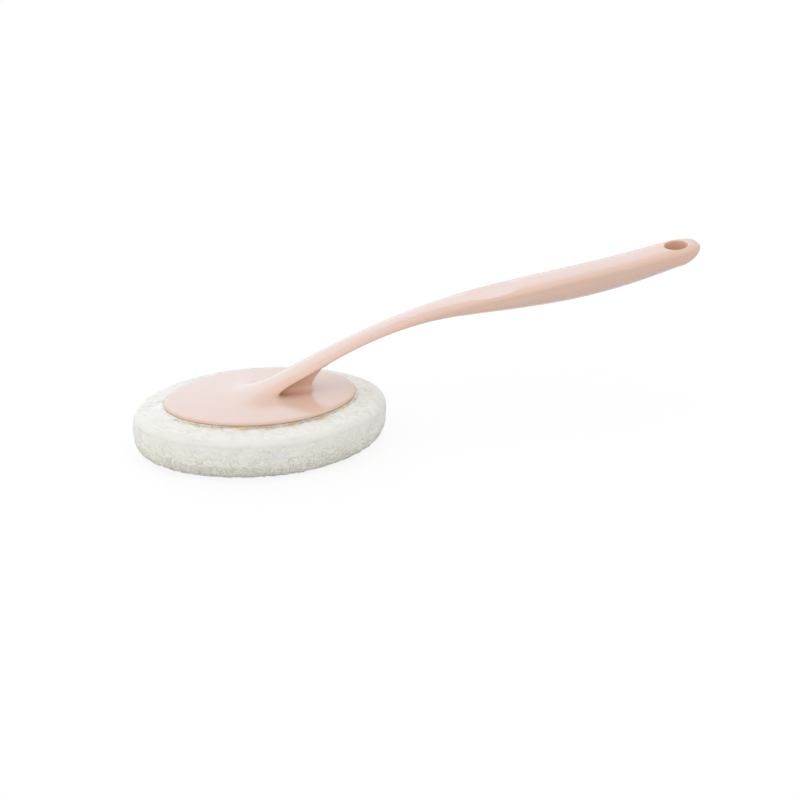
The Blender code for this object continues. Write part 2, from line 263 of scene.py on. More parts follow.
def place_mottle(material, **values):
    """Puts the mottle into a material, on Object coordinates, with the material's values."""
    nodes, links = material.node_tree.nodes, material.node_tree.links
    made = nodes.new("ShaderNodeGroup")
    made.node_tree = mottle
    for name, value in values.items():
        made.inputs[name.capitalize()].default_value = value
    links.new(nodes.new("ShaderNodeTexCoord").outputs["Object"], made.inputs["Place"])
    return made


def fibre_material(name, pale, deep, roughness):
    """Matt fibre: pale where the tone is high and deeper where it is low, with a fine fleck."""
    made = bpy.data.materials.new(name)
    made.use_nodes = True
    nodes, links = made.node_tree.nodes, made.node_tree.links
    shader = nodes["Principled BSDF"]
    shader.inputs["Roughness"].default_value = roughness
    shader.inputs["Specular IOR Level"].default_value = 0.25
    shader.inputs["Sheen Weight"].default_value = 0.3
    shader.inputs["Subsurface Weight"].default_value = 0.3
    shader.inputs["Subsurface Radius"].default_value = (1.0, 0.97, 0.9)
    shader.inputs["Subsurface Scale"].default_value = 0.001
    tone = nodes.new("ShaderNodeAttribute")
    tone.attribute_name = "tone"
    fleck = place_mottle(
        made, scale=900.0, detail=4.0, share=0.5, low=0.2, high=0.9, deep=(*deep, 1), pale=(*pale, 1)
    )
    links.new(tone.outputs["Fac"], fleck.inputs["Tone"])
    links.new(fleck.outputs["Colour"], shader.inputs["Base Color"])
    bump = nodes.new("ShaderNodeBump")
    bump.inputs["Strength"].default_value = 0.25
    bump.inputs["Distance"].default_value = 0.0004
    links.new(fleck.outputs["Noise"], bump.inputs["Height"])
    links.new(bump.outputs["Normal"], shader.inputs["Normal"])
    return made


def side_line(insets, heights, step):
    """A profile of insets and heights, cut again into even steps along its length."""
    run = np.concatenate(([0], np.cumsum(np.hypot(np.diff(insets), np.diff(heights)))))
    even = np.linspace(0, run[-1], int(run[-1] / step) + 1)
    return np.interp(even, run, insets), np.interp(even, run, heights)


turn = np.linspace(0, math.pi / 2, 60)
side_insets, side_heights = side_line(
    FOOT_DRAW_IN * (1 - np.sin(turn)) ** SIDE_SWELL, scrub_high[2] * (1 - np.cos(turn)), SCRUB_GRAIN
)
sole_insets = np.linspace(PAD_HALF[1] - MIDDLE_FACE, FOOT_DRAW_IN, SOLE_RINGS + 1)[:-1]
scrub_insets = np.concatenate((sole_insets, side_insets, [TUCK]))
scrub_heights = np.concatenate((np.zeros(SOLE_RINGS), side_heights, [scrub_high[2]]))
scrub_rings = oval_rings(scrub_insets, scrub_heights)
scrub_out = grid_normals(scrub_rings)
SIDE_START = SOLE_RINGS
SIDE_END = SIDE_START + len(side_insets)
matted = lumps(scrub_rings, 0.0052, 11, (1.7, 1.7, 1))
curled = 1 - 1.6 * np.abs(lumps(scrub_rings, 0.0034, 12, (1.5, 1.5, 1)))
coarse = 0.35 * matted + 0.6 * curled + 0.35 * lumps(scrub_rings, 0.0016, 13)
openness = np.clip((scrub_high[2] - scrub_rings[..., 2]) / COARSE_FADE, 0, 1)
scrub_lift = (0.00018 * coarse - 0.00015) * openness
scrub_surface = scrub_rings + scrub_out * scrub_lift[..., None]
scrub_surface[..., 2] = np.maximum(scrub_surface[..., 2], GROUND_GAP)
scrub_layer = make_piece("pad_scrub_layer", scrub_surface, *skin_faces(*scrub_surface.shape[:2]))
tone_of(scrub_layer, 0.70 + 0.10 * coarse * openness - 0.10 * openness)
scrub_layer.data.set_sharp_from_angle(angle=math.radians(60))
# Painted light, in part: besides its own yellower cast, the coarse layer's colour is set paler than the
# loop face's, so that the side, which gets less light than the top, reads about as bright.
coarse_fibre = fibre_material("coarse_fibre", (0.935, 0.908, 0.81), (0.72, 0.70, 0.56), 0.85)
scrub_layer.data.materials.append(coarse_fibre)
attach(scrub_layer, "pad")
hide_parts("pad_scrub_face")


STRAND_STEPS = 7


def side_strands(
    name, surface, outward, first, last, count, length, radius, curl, lift, tones, seed
):
    """Strands that wander over the side of a layer, between two rings of its surface.

    Each flat path is laid on the grid, and stands off it by a lift that rises and falls
    once along the strand.
    """
    rng = np.random.default_rng(seed)
    sizes = length * rng.uniform(0.6, 1.4, count)
    path = wander(rng, count, STRAND_STEPS, sizes, curl)
    u = rng.uniform(0, AROUND, (count, 1)) + path[..., 0] / (OUTLINE_LENGTH / AROUND)
    v = rng.uniform(first, last, (count, 1)) + path[..., 1] / SCRUB_GRAIN
    v = first + np.abs(v - first)
    v = np.clip(last - np.abs(last - v), first, last)
    base = read_grid(surface, u, v)
    away = read_grid(outward, u, v)
    away /= np.linalg.norm(away, axis=-1, keepdims=True)
    hump = np.sin(np.linspace(0, math.pi, STRAND_STEPS)) * rng.uniform(0.1, 1, (count, 1)) ** 2
    lines = base + away * (lift * hump)[..., None]
    lines[..., 2] = np.maximum(lines[..., 2], 1.4 * radius)
    thick = radius * rng.uniform(0.7, 1.3, count)
    made = strand_piece(name, lines, away, thick)
    tone_of(made, np.repeat(rng.uniform(*tones, count), STRAND_STEPS * 3))
    return made


def pad_strands(made, finish):
    """Gives a piece of strands its finish, and lets it ride with the pad."""
    made.data.materials.append(finish)
    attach(made, "pad")


for name, first, last, count, length, radius, curl, lift, tones, seed in (
    ("scrub_side_fibres", SIDE_START - 4, SIDE_END, 2200, 0.0055, 0.00009, 0.35, 0.00012, (0.55, 0.8), 21),
    ("scrub_side_curls", SIDE_START - 4, SIDE_END - 8, 900, 0.0050, 0.00026, 0.4, 0.00003, (0.55, 0.8), 22),
    ("scrub_sole_fibres", 0, SIDE_START, 4000, 0.0060, 0.00012, 0.4, 0.0002, (0.3, 0.9), 23),
):
    made = side_strands(
        name, scrub_surface, scrub_out, first, last, count, length, radius, curl, lift, tones, seed
    )
    pad_strands(made, coarse_fibre)


# Fine middle layer: dense white wadding, the same nylon but thinner and packed closer, so
# that the side of the pad looks smooth above the coarse layer. It is bonded to both others.

body_low, body_high = (np.array(corner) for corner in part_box("pad_body"))
# Painted light, in part: the wadding's white is set paler than the loop face's, so that the side, which
# gets less light than the top, reads about as bright.
fine_fibre = fibre_material("fine_fibre", (0.925, 0.907, 0.852), (0.865, 0.842, 0.76), 0.9)
PAD_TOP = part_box("pad_loop_face")[1][2]
ROLL_IN = 0.0055
ROLL_DROP = 0.0062
SCRUB_BLEND = 0.005
LOOP_BLEND = 0.0045


def roll_inset(z):
    """How far the pad is drawn in at a height: a quarter ellipse, up to the top face."""
    share = np.clip((z - PAD_TOP + ROLL_DROP) / ROLL_DROP, 0, 1)
    return ROLL_IN * (1 - np.sqrt(1 - share**2))


body_rise = np.linspace(scrub_high[2], body_high[2], 60)
body_insets, body_heights = side_line(roll_inset(body_rise), body_rise, SCRUB_GRAIN)
body_insets = np.concatenate(([TUCK], body_insets, [TUCK]))
body_heights = np.concatenate(([scrub_high[2]], body_heights, [body_high[2]]))
body_rings = oval_rings(body_insets, body_heights)
upright = np.linspace(0, body_high[2] - body_low[2], len(body_insets))
body_out = grid_normals(oval_rings(np.zeros(len(body_insets)), upright))
soft = lumps(body_rings, 0.006, 31, (1.5, 1.5, 1)) + 0.5 * lumps(body_rings, 0.0022, 32)
near_scrub = np.clip(1 - (body_rings[..., 2] - body_low[2]) / SCRUB_BLEND, 0, 1)
near_loop = np.clip(1 - (body_high[2] - body_rings[..., 2]) / LOOP_BLEND, 0, 1)
body_lift = 0.00006 * soft * (1 - near_loop)
body_surface = body_rings + body_out * body_lift[..., None]
body_layer = make_piece("pad_body_layer", body_surface, *skin_faces(*body_surface.shape[:2]))
tone_of(body_layer, 0.72 + 0.02 * soft - 0.25 * near_scrub - 0.6 * near_loop)
body_layer.data.set_sharp_from_angle(angle=math.radians(60))
body_layer.data.materials.append(fine_fibre)
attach(body_layer, "pad")
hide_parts("pad_body")

body_fibres = side_strands(
    "body_side_fibres", body_surface, body_out, 1, len(body_insets) - 2,
    1200, 0.005, 0.00004, 0.3, 0.00003, (0.66, 0.76), 33,
)
pad_strands(body_fibres, fine_fibre)


# Loop face: the soft brushed nylon top of the pad, needled into the layer below, which the
# hook tape grips. Its edge rolls over, and it is rubbed up where the plate's rim presses.

plate_low, plate_high = (np.array(corner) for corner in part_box("handle"))
PLATE_HALF = np.array((-plate_low[0], plate_high[1]))
PLATE_ROUNDNESS = 1.9
PLATE_RIM = 0.0019
RIM_RADIUS = PLATE_RIM / 2
RIM_GAP = 0.00015
LOOP_GRAIN = 0.00045
FLAT_START = 0.022

# The two bells of the ring that is rubbed up at the rim: height, and width outside the rim
RUB_BROAD = (0.0014, 0.0065)
RUB_CLOSE = (0.0013, 0.0020)
# Width of the band of painted shade and painted pink reflection outside the rim
RIM_SHADE_WIDTH = 0.0026
RUB_IN = 0.0014

# The deep colour, a warm brown, mostly serves the painted shade and painted pink reflection by the plate's
# rim and on the tufts.
brushed_fibre = fibre_material("brushed_fibre", (0.86, 0.842, 0.792), (0.74, 0.56, 0.33), 0.9)
turn = np.linspace(math.asin(1 - (PAD_TOP - body_high[2]) / ROLL_DROP), math.pi / 2, 24)
shoulder_insets, shoulder_heights = side_line(
    ROLL_IN * (1 - np.cos(turn)), PAD_TOP - ROLL_DROP * (1 - np.sin(turn)), LOOP_GRAIN
)
top_insets = np.concatenate((
    np.linspace(ROLL_IN, FLAT_START, 60)[1:],
    np.linspace(FLAT_START, PAD_HALF[1] - MIDDLE_FACE, 16)[1:],
))
loop_insets = np.concatenate(([TUCK], shoulder_insets, top_insets))
loop_heights = np.concatenate((
    [body_high[2]], shoulder_heights, np.full(len(top_insets), PAD_TOP)
))
loop_rings = oval_rings(loop_insets, loop_heights)
loop_out = grid_normals(loop_rings)
loop_out[0] = 0
brushed = lumps(loop_rings, 0.007, 41) + 0.6 * lumps(loop_rings, 0.0026, 42)
brushed += 0.3 * lumps(loop_rings, 0.0012, 43)


def plate_reach(x, y):
    """How far out a point lies on the plate: (|x / a| ** n + |y / b| ** n) ** (1 / n)."""
    along, across = np.abs(x) / PLATE_HALF[0], np.abs(y) / PLATE_HALF[1]
    return (along**PLATE_ROUNDNESS + across**PLATE_ROUNDNESS) ** (1 / PLATE_ROUNDNESS)


def plate_outline(turn, inset):
    """Points of the plate's outline, drawn in by an inset, in the directions of the turns."""
    c, s = np.cos(turn), np.sin(turn)
    x = (PLATE_HALF[0] - inset) * np.sign(c) * np.abs(c) ** (2 / PLATE_ROUNDNESS)
    y = (PLATE_HALF[1] - inset) * np.sign(s) * np.abs(s) ** (2 / PLATE_ROUNDNESS)
    return x, y


def beyond_rim(x, y):
    """Distance of a point outside the plate's rim, negative under the plate."""
    reach = plate_reach(x, y)
    return (reach - 1) * np.hypot(x, y) / np.maximum(reach, 1e-6)


def rim_share(x, y, width):
    """1 at the plate's rim, and exp(-(distance / width) ** 2) away from it on either side."""
    beyond = beyond_rim(x, y)
    return np.exp(-(np.where(beyond > 0, beyond / width, beyond / RUB_IN) ** 2))


def rubbed_rise(x, y):
    """How high the face stands up against the rim: a broad and a close bell, added.

    Under the plate it is held 0.15 mm below the underside, and below the quarter round of
    the rim, whose height is radius - sqrt(radius ** 2 - (radius + beyond) ** 2).
    """
    broad, close = (rise * rim_share(x, y, width) for rise, width in (RUB_BROAD, RUB_CLOSE))
    over = np.clip(RIM_RADIUS + beyond_rim(x, y), 0, RIM_RADIUS)
    room = plate_low[2] + RIM_RADIUS - np.sqrt(RIM_RADIUS**2 - over**2) - RIM_GAP - PAD_TOP
    return np.where(over < RIM_RADIUS, np.minimum(broad + close, room), broad + close)


swell = rim_share(loop_rings[..., 0], loop_rings[..., 1], RUB_CLOSE[1])
patches = np.clip(0.5 + 0.5 * lumps(loop_rings, 0.016, 45), 0.1, 1.2)
at_ends = np.clip((np.abs(loop_rings[..., 0]) / PLATE_HALF[0] - 0.72) / 0.25, 0, 1)
# Painted shade and painted pink reflection: a patchy warm brown band on the loop face just outside the
# plate's rim, fainter at the ends.
rim_shade = rim_share(loop_rings[..., 0], loop_rings[..., 1], RIM_SHADE_WIDTH)
rim_shade *= patches * (1 - 0.7 * at_ends)
rolled = np.clip((PAD_TOP - loop_rings[..., 2]) / (PAD_TOP - body_high[2]), 0, 1)
loop_lift = 0.000018 * brushed * (1 + swell) * (1 - rolled)
loop_lift += rubbed_rise(loop_rings[..., 0], loop_rings[..., 1])
loop_surface = loop_rings + loop_out * loop_lift[..., None]
loop_layer = make_piece("pad_loop_layer", loop_surface, *skin_faces(*loop_surface.shape[:2]))
tone_of(loop_layer, 0.7 + 0.01 * brushed - rim_shade * (0.85 + 0.2 * brushed))
loop_layer.data.set_sharp_from_angle(angle=math.radians(60))
loop_layer.data.materials.append(brushed_fibre)
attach(loop_layer, "pad")
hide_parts("pad_loop_face")


def pad_reach(x, y):
    """How far out a point lies on the pad: (|x / a| ** n + |y / b| ** n) ** (1 / n)."""
    along, across = np.abs(x) / PAD_HALF[0], np.abs(y) / PAD_HALF[1]
    return (along**PAD_ROUNDNESS + across**PAD_ROUNDNESS) ** (1 / PAD_ROUNDNESS)


def top_height(x, y):
    """Height of the loop face over a point: flat, rubbed up at the rim, rolled at the edge.

    The roll drops by roll (1 - sqrt(1 - share ** 2)), with the share 1 at the pad's edge.
    """
    reach = np.maximum(pad_reach(x, y), 1e-6)
    inset = (1 - reach) * np.hypot(x, y) / reach
    share = 1 - np.clip(inset / ROLL_IN, 0, 1)
    drop = ROLL_DROP * (1 - np.sqrt(1 - share**2))
    return PAD_TOP - drop + rubbed_rise(x, y)


def top_strands(name, count, length, radius, curl, lift, seed):
    """Fine strands that lie on the loop face in all directions, and rise with it by the plate's rim."""
    rng = np.random.default_rng(seed)
    angle = rng.uniform(0, 2 * math.pi, count)
    share = np.sqrt(rng.uniform(0, 1, count))
    x, y = oval_point(angle, 0.0006)
    path = wander(rng, count, STRAND_STEPS, length * rng.uniform(0.6, 1.4, count), curl)
    x = (x * share)[:, None] + path[..., 0]
    y = (y * share)[:, None] + path[..., 1]
    over = np.maximum(pad_reach(x, y) / 0.985, 1)
    x, y = x / over, y / over
    hump = np.sin(np.linspace(0, math.pi, STRAND_STEPS)) * rng.uniform(0.1, 1, (count, 1)) ** 2
    z = top_height(x, y) + 0.4 * radius + lift * hump
    lines = np.stack((x, y, z), -1)
    outward = np.broadcast_to(np.array((0.0, 0.0, 1.0)), lines.shape)
    made = strand_piece(name, lines, outward, radius * rng.uniform(0.7, 1.3, count))
    tone_of(made, np.repeat(rng.uniform(0.68, 0.76, count), STRAND_STEPS * 3))
    return made


top_fibres = top_strands("loop_top_fibres", 2500, 0.006, 0.00003, 0.25, 0.00005, 44)
pad_strands(top_fibres, brushed_fibre)


def rim_tufts(name, count, steps, seed):
    """Loops pulled up along the plate's rim by the hooks.

    Each starts under the rim, and arches outwards from it over the loop face with a wander
    to one side: out grows along it, and its height is a half sine. Few start at the ends.
    """
    rng = np.random.default_rng(seed)
    angle = rng.uniform(0, 2 * math.pi, count)
    angle = angle[rng.uniform(0, 1, count) > np.abs(np.cos(angle)) ** 3]
    count = len(angle)
    start = rng.uniform(1.003, 1.03, count)
    patch = 0.55 + 0.45 * np.sin(3 * angle + 1.0) * np.sin(7 * angle + 0.4)
    reach = rng.uniform(0.0008, 0.0034, count) * rng.uniform(0.3, 1, count) * patch
    side = rng.normal(0, 0.0016, count)
    share = np.linspace(0, 1, steps)
    c, s = np.cos(angle), np.sin(angle)
    rim = np.stack(plate_outline(angle, 0), -1) * start[:, None]
    out = np.stack((PLATE_HALF[1] * c, PLATE_HALF[0] * s), -1)
    out /= np.linalg.norm(out, axis=1, keepdims=True)
    beside = np.stack((-out[:, 1], out[:, 0]), -1)
    swing = side[:, None] * np.sin(share * rng.uniform(1.5, 5, (count, 1)))
    flat = rim[:, None] + out[:, None] * (reach[:, None] * share)[..., None]
    flat = flat + beside[:, None] * swing[..., None]
    rise = rng.uniform(0.0, 0.0002, count)[:, None] * np.sin(math.pi * share)
    z = top_height(flat[..., 0], flat[..., 1]) + rise
    lines = np.concatenate((flat, z[..., None]), -1)
    outward = np.broadcast_to(np.array((0.0, 0.0, 1.0)), lines.shape)
    made = strand_piece(name, lines, outward, 0.00006 * rng.uniform(0.6, 1.4, count))
    # Painted shade and painted pink reflection: the tufts take low tones, so most of them show the warm
    # brown deep colour.
    tone_of(made, np.repeat(rng.uniform(0.0, 0.5, count), steps * 3))
    return made


tufts = rim_tufts("rim_tufts", 2000, 8, 51)
pad_strands(tufts, brushed_fibre)


# Hook tape: an oval of moulded nylon, glued under the plate. Its face is covered with small
# mushroom hooks, in staggered rows, that catch in the loop face.

tape_low, tape_high = (np.array(corner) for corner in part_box("hook_tape"))
TAPE_AROUND = 240
TAPE_THICK = 0.0008
TAPE_EDGE = 0.0002
TAPE_INSET = 0.0022
HOOK_MARGIN = 0.001
HOOK_PITCH = 0.0021
HOOK_STEM = 0.00024
HOOK_CAP = 0.00055
HOOK_ROWS = 40
HOOK_SIDES = 6
hook_nylon = bpy.data.materials.new("hook_nylon")
hook_nylon.use_nodes = True
nylon = hook_nylon.node_tree.nodes["Principled BSDF"]
nylon.inputs["Roughness"].default_value = 0.45
nylon_cloud = place_mottle(
    hook_nylon, scale=700.0, deep=(0.66, 0.63, 0.56, 1), pale=(0.80, 0.78, 0.72, 1)
)
hook_nylon.node_tree.links.new(nylon_cloud.outputs["Colour"], nylon.inputs["Base Color"])

tape_angles = np.linspace(0, 2 * math.pi, TAPE_AROUND, endpoint=False)
tape_profile = (
    (TAPE_INSET + TAPE_EDGE, tape_high[2] - TAPE_THICK),
    (TAPE_INSET, tape_high[2] - 0.85 * TAPE_THICK),
    (TAPE_INSET, tape_high[2] - 0.15 * TAPE_THICK),
    (TAPE_INSET + TAPE_EDGE, tape_high[2]),
)
tape_grid = np.stack([
    np.stack((*plate_outline(tape_angles, inset), np.full(TAPE_AROUND, height)), -1)
    for inset, height in tape_profile
])
tape = make_piece("hook_tape_sheet", tape_grid, *skin_faces(*tape_grid.shape[:2]))
tape.data.materials.append(hook_nylon)
tape.data.set_sharp_from_angle(angle=math.radians(40))
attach(tape, "handle")
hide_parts("hook_tape")

row_pitch = HOOK_PITCH * math.sqrt(3) / 2
rows = np.arange(-HOOK_ROWS, HOOK_ROWS + 1)
hook_x = (rows[None, :] + 0.5 * (rows[:, None] % 2)) * HOOK_PITCH
hook_y = np.broadcast_to(rows[:, None] * row_pitch, hook_x.shape)
inside = plate_reach(hook_x, hook_y) < 1 - (TAPE_INSET + HOOK_MARGIN) / PLATE_HALF[1]
hook_x, hook_y = hook_x[inside], hook_y[inside]
hook_top = tape_high[2] - TAPE_THICK
hook_foot = tape_low[2]
hook_levels = (
    (hook_top + 0.0002, HOOK_STEM),
    (hook_foot + 0.0004, HOOK_STEM),
    (hook_foot + 0.00035, HOOK_CAP),
    (hook_foot + 0.0001, 0.8 * HOOK_CAP),
    (hook_foot, 0.4 * HOOK_CAP),
)
spoke = np.arange(HOOK_SIDES) * 2 * math.pi / HOOK_SIDES
hook_points = np.stack([
    np.stack((
        hook_x[:, None] + size * np.cos(spoke),
        hook_y[:, None] + size * np.sin(spoke),
        np.full((len(hook_x), HOOK_SIDES), z),
    ), -1)
    for z, size in hook_levels
], axis=1)
hook_quads, hook_caps = skin_faces(len(hook_levels), HOOK_SIDES)
each = np.arange(len(hook_x))[:, None, None] * len(hook_levels) * HOOK_SIDES
hooks = make_piece(
    "hook_field", hook_points,
    (each + hook_quads).reshape(-1, 4), (each + hook_caps).reshape(-1, HOOK_SIDES),
)
hooks.data.materials.append(hook_nylon)
hooks.data.set_sharp_from_angle(angle=math.radians(50))
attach(hooks, "handle")


# Handle: one injection moulding of pale pink polypropylene. An oval plate with a rounded rim
# runs up into the neck, and the neck into a flat-topped grip with a rounded end.

GLUE_LINE = 0.0003
SEAT = tape_high[2] + GLUE_LINE
PLATE_CROWN = 0.0009
PLATE_TOP = SEAT + PLATE_RIM
ROOT_X = 0.024
TIP_X = plate_high[0]
NOSE_LENGTH = 0.0144
NOSE_X = TIP_X - NOSE_LENGTH
NECK_THICK = 0.0038
GRIP_WIDTH = 0.0206
GRIP_WAIST = 0.0040
GRIP_CROWN = 0.0009
NECK_SQUARE = 2.3
GRIP_SQUARE = 9.0
NOSE_SQUARE = 4.2
NOSE_WIDTH = 0.0200
NOSE_CROWN = 0.0004
BELLY_SQUARE = 2.1
NOSE_BLUNT = 0.72
NOSE_LIFT = 0.0013
NOSE_DROP = 0.0022
NOSE_TOP_CURVE = 3.0
NOSE_RISE = 0.0096
NOSE_FOOT_CURVE = 2.1
FLARE_ON_PLATE = 0.018
FLARE_ON_NECK = 0.028
WEDGE_RADIUS = 0.0155
HANDLE_AROUND = 256

# Stations: place along X, height of the top above the seat, thickness, width, squareness, crown
STATIONS = np.array((
    (ROOT_X, 0.0156, NECK_THICK, 0.0172, NECK_SQUARE, 0.0),
    (0.045, 0.0244, NECK_THICK, 0.0150, NECK_SQUARE, 0.0),
    (0.070, 0.0332, 0.0043, 0.0150, NECK_SQUARE, 0.0002),
    (0.100, 0.0406, 0.0068, 0.0170, 4.0, 0.0005),
    (0.130, 0.0449, 0.0107, GRIP_WIDTH, GRIP_SQUARE, GRIP_CROWN),
    (0.175, 0.0499, 0.0149, GRIP_WIDTH, GRIP_SQUARE, GRIP_CROWN),
    (0.215, 0.0549, 0.0140, 0.0203, 6.0, 0.0007),
    (NOSE_X, 0.0584, 0.0121, NOSE_WIDTH, NOSE_SQUARE, NOSE_CROWN),
))


def station_curve(column, x):
    """Natural cubic spline through one column of the stations, at an array of places."""
    xs, ys = STATIONS[:, 0], STATIONS[:, column]
    n, h = len(xs), np.diff(xs)
    a, b = np.eye(n), np.zeros(n)
    for i in range(1, n - 1):
        a[i, i - 1 : i + 2] = h[i - 1], 2 * (h[i - 1] + h[i]), h[i]
        b[i] = 6 * ((ys[i + 1] - ys[i]) / h[i] - (ys[i] - ys[i - 1]) / h[i - 1])
    bend = np.linalg.solve(a, b)
    i = np.clip(np.searchsorted(xs, x) - 1, 0, n - 2)
    t, u = x - xs[i], xs[i + 1] - x
    cubic = (bend[i] * u**3 + bend[i + 1] * t**3) / (6 * h[i])
    return cubic + (ys[i] / h[i] - bend[i] * h[i] / 6) * u + (ys[i + 1] / h[i] - bend[i + 1] * h[i] / 6) * t


def bar_sizes(x):
    """Top, thickness, width, squareness and crown of the bar at x, in the nose too.

    In the nose, with t = (x - nose) / length and c = sqrt(1 - t * t), the width falls with a
    power of c, the crown with c, the top lifts with t and drops with (1 - c) cubed, and the
    foot rises.
    """
    body = np.minimum(x, NOSE_X)
    top, thick, width, square, crown = (station_curve(column, body) for column in range(1, 6))
    t = np.clip((x - NOSE_X) / NOSE_LENGTH, 0, 1)
    c = np.sqrt(1 - t * t)
    foot = top - thick + NOSE_RISE * t**NOSE_FOOT_CURVE
    top = top + NOSE_LIFT * t - (NOSE_LIFT + NOSE_DROP) * (1 - c) ** NOSE_TOP_CURVE
    return SEAT + top, top - foot, width * np.maximum(c, 0.02) ** NOSE_BLUNT, square, crown * c


around_turn = np.linspace(0, 2 * math.pi, HANDLE_AROUND, endpoint=False)


def bar_rings(x):
    """(rings, around, 3) sections of the bar: a gently crowned top over a round belly.

    Each half is a superellipse, r = (|cos| ** n + |sin| ** n) ** (-1 / n). The upper half is
    lowered by the crown times the cube of the way to its side, and both meet at the waist.
    """
    top, thick, width, square, crown = (value[:, None] for value in bar_sizes(x))
    c, s = np.cos(around_turn)[None], np.sin(around_turn)[None]
    waist = np.minimum(GRIP_WAIST, (thick - crown) / 2)
    power = np.where(c > 0, square, BELLY_SQUARE)
    reach = (np.abs(c) ** power + np.abs(s) ** power) ** (-1 / power)
    upper = waist * (reach * c - 1) - crown * np.abs(reach * s) ** 3
    lower = (thick - waist - crown) * reach * c - waist - crown
    z = top + np.where(c > 0, upper, lower)
    return np.stack((np.broadcast_to(x[:, None], z.shape), width / 2 * reach * s, z), -1)


def plate_height(x, y):
    """Top of the plate: its rim, and a low crown that rises towards the middle."""
    return PLATE_TOP + PLATE_CROWN * np.maximum(1 - plate_reach(x, y) ** PLATE_ROUNDNESS, 0)


def plate_and_root(neck_ring, slope):
    """Rings from the underside of the plate, round its rim, over its top and up the root.

    Every line of the neck is carried on down to the plate, and a Bezier curve of degree 5
    leads from the plate into it: long in front and at the sides of the root, short behind.
    Its first three and last three points lie on the two straight legs, so that the curve
    leaves both without a step in its bend.
    """

    def rim(inset, z):
        x, y = plate_outline(around_turn, inset)
        return np.stack((-x, y, np.full(HANDLE_AROUND, z)), -1)

    rings = []
    for lean in np.radians(np.linspace(-90, 90, 13)):
        rings.append(rim(RIM_RADIUS * (1 - math.cos(lean)), SEAT + RIM_RADIUS * (1 + math.sin(lean))))
    down = np.array((-math.cos(slope), 0.0, -math.sin(slope)))
    foot = neck_ring.copy()
    for _ in range(5):
        drop = foot[:, 2] - plate_height(foot[:, 0], foot[:, 1])
        foot += down * (drop / math.sin(slope))[:, None]
    forward = np.sqrt((1 + np.cos(around_turn)) / 2)[:, None]
    outward = rings[-1] - foot
    outward[:, 2] = 0
    outward /= np.linalg.norm(outward, axis=1)[:, None]
    on_plate = foot + outward * (WEDGE_RADIUS + (FLARE_ON_PLATE - WEDGE_RADIUS) * forward)
    on_neck = foot - down * (WEDGE_RADIUS + (FLARE_ON_NECK - WEDGE_RADIUS) * forward)
    edge = rings[-1]
    for share in np.linspace(0, 1, 26)[1:]:
        ring = edge + (on_plate - edge) * share
        ring[:, 2] = plate_height(ring[:, 0], ring[:, 1])
        rings.append(ring)
    legs = [rings[-1] + (foot - rings[-1]) * share for share in (0, 0.4, 0.8)]
    legs += [on_neck + (foot - on_neck) * share for share in (0.8, 0.4, 0)]
    for share in np.linspace(0, 1, 41)[1:]:
        weights = [math.comb(5, k) * share**k * (1 - share) ** (5 - k) for k in range(6)]
        rings.append(sum(weight * leg for weight, leg in zip(weights, legs)))
    return np.array(rings)


THUMB_X = 0.130
THUMB_LENGTH = 0.030
THUMB_DEPTH = 0.0006
THUMB_FROM = 0.108
THUMB_TO = 0.149


def thumb_floor(x):
    """Height of the thumb rest: the arc of a wide roller laid across the crowned top.

    Its chord joins the top at both ends of the rest, and its radius is chord ** 2 / 8 depth.
    Past the ends of the rest it is out of the way.
    """
    near, far = bar_sizes(THUMB_X + THUMB_LENGTH * np.array((-0.5, 0.5)))[0]
    middle = bar_sizes(np.array([THUMB_X]))[0]
    radius = THUMB_LENGTH**2 / (8 * THUMB_DEPTH)
    run = x - THUMB_X
    arc = radius - THUMB_DEPTH - np.sqrt(np.maximum(radius**2 - run**2, 0))
    floor = middle + run * (far - near) / THUMB_LENGTH + arc
    return np.where(np.abs(run) < 0.6 * THUMB_LENGTH, floor, 1)


nose_turn = np.radians(np.linspace(0, 86, 30))[1:]
bar_x = np.concatenate((
    np.linspace(ROOT_X, THUMB_FROM, 72)[:-1],
    np.linspace(THUMB_FROM, THUMB_TO, 76)[:-1],
    np.linspace(THUMB_TO, NOSE_X, 70),
    NOSE_X + NOSE_LENGTH * np.sin(nose_turn),
))
bar = bar_rings(bar_x)
slope = math.atan2(bar[1, 0, 2] - bar[0, 0, 2], bar[1, 0, 0] - bar[0, 0, 0])
upper = np.cos(around_turn) > 0
bar[:, upper, 2] = np.minimum(bar[:, upper, 2], thumb_floor(bar[:, upper, 0]))
handle_grid = np.concatenate((plate_and_root(bar[0], slope), bar))
handle = make_piece("handle_moulding", handle_grid, *skin_faces(*handle_grid.shape[:2]))


# Gusset web: the upright wall of the same moulding under the neck, which stiffens its root.
# Its foot and its head spread into the plate and the neck with small moulded fillets.

WEB_THICK = 0.0066
WEB_HEEL_X = 0.0277
WEB_ARC = 0.0095
WEB_END_X = 0.036
WEB_EDGE = 0.0014
WEB_FILLET = 0.0030
WEB_HEEL_FILLET = 0.0020
WEB_RUN = 40
WEB_ROUND = 9
WEB_REAR = 7


def fillet_spread(height, radius):
    """How far a wall spreads at a height over the face that it stands on: a quarter circle."""
    share = 1 - np.clip(height / radius, 0, 1)
    return radius * (1 - np.sqrt(1 - share**2))


def neck_underside(x):
    """Height of the neck's underside, carried on straight below the root."""
    top, thick, _, _, _ = bar_sizes(np.maximum(x, ROOT_X))
    return top - thick + np.minimum(x - ROOT_X, 0) * math.tan(slope)


